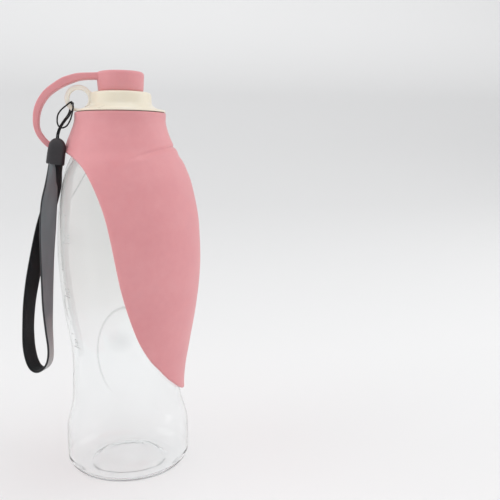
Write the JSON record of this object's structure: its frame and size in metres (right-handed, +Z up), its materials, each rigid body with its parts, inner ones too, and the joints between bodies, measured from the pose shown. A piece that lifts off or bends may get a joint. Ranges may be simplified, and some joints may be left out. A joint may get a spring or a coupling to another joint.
{
  "type": "dog travel water bottle",
  "caption": "Clear squeeze water bottle with a fold-down silicone leaf that serves as a drinking bowl, a screw cap, a tethered stopper and a wrist strap.",
  "frame": {"origin": "centre of the bottle's foot ring, on the surface that the bottle stands on", "axes": "+Z up along the bottle's axis; +X towards the leaf's tip; the tether, hang ring and wrist strap are at -X; the object's front in use and in the picture is -Y"},
  "size_m": [0.1037, 0.0894, 0.232],
  "materials": {
    "clear_plastic": "clear blown plastic, glossy",
    "cream_plastic": "satin moulded plastic",
    "pink_silicone": "matt silicone",
    "seal_silicone": "soft translucent silicone",
    "black_cord": "twisted polyester cord",
    "black_clamp": "soft moulded plastic",
    "webbing": "flat woven webbing, grey outside and black inside"
  },
  "bodies": {
    "bottle": {"bottle": "clear_plastic", "neck_thread": "clear_plastic"},
    "seal": {"mouth_seal": "seal_silicone"},
    "cap": {"screw_cap": "cream_plastic", "cap_thread": "cream_plastic", "hang_ring": "cream_plastic", "leaf_bowl": "pink_silicone", "tether_lower": "pink_silicone"},
    "plug": {"tether_upper": "pink_silicone", "stopper": "pink_silicone"},
    "strap": {"hitch_cord": "black_cord", "strap_clamp": "black_clamp", "strap_webbing": "webbing"}
  },
  "joints": [
    {"name": "cap_rise", "type": "slide", "parent": "bottle", "child": "seal", "axis": [0, 0, 1], "range_m": [0, 0.00901]},
    {"name": "cap_turn", "type": "hinge", "parent": "seal", "child": "cap", "pos_m": [0, 0, 0.203], "axis": [0, 0, 1], "range_deg": [0, 720]},
    {"name": "stopper_lift", "type": "hinge", "parent": "cap", "child": "plug", "pos_m": [-0.0418, 0, 0.2185], "axis": [0, -1, 0], "range_deg": [0, 90]},
    {"name": "strap_swing", "type": "hinge", "parent": "cap", "child": "strap", "pos_m": [-0.0272, 0, 0.2146], "axis": [0, 1, 0], "range_deg": [0, 60]}
  ],
  "couplings": [
    {"joint": "cap_rise", "follows": "cap_turn", "m_per_rad": 0.0007162}
  ]
}
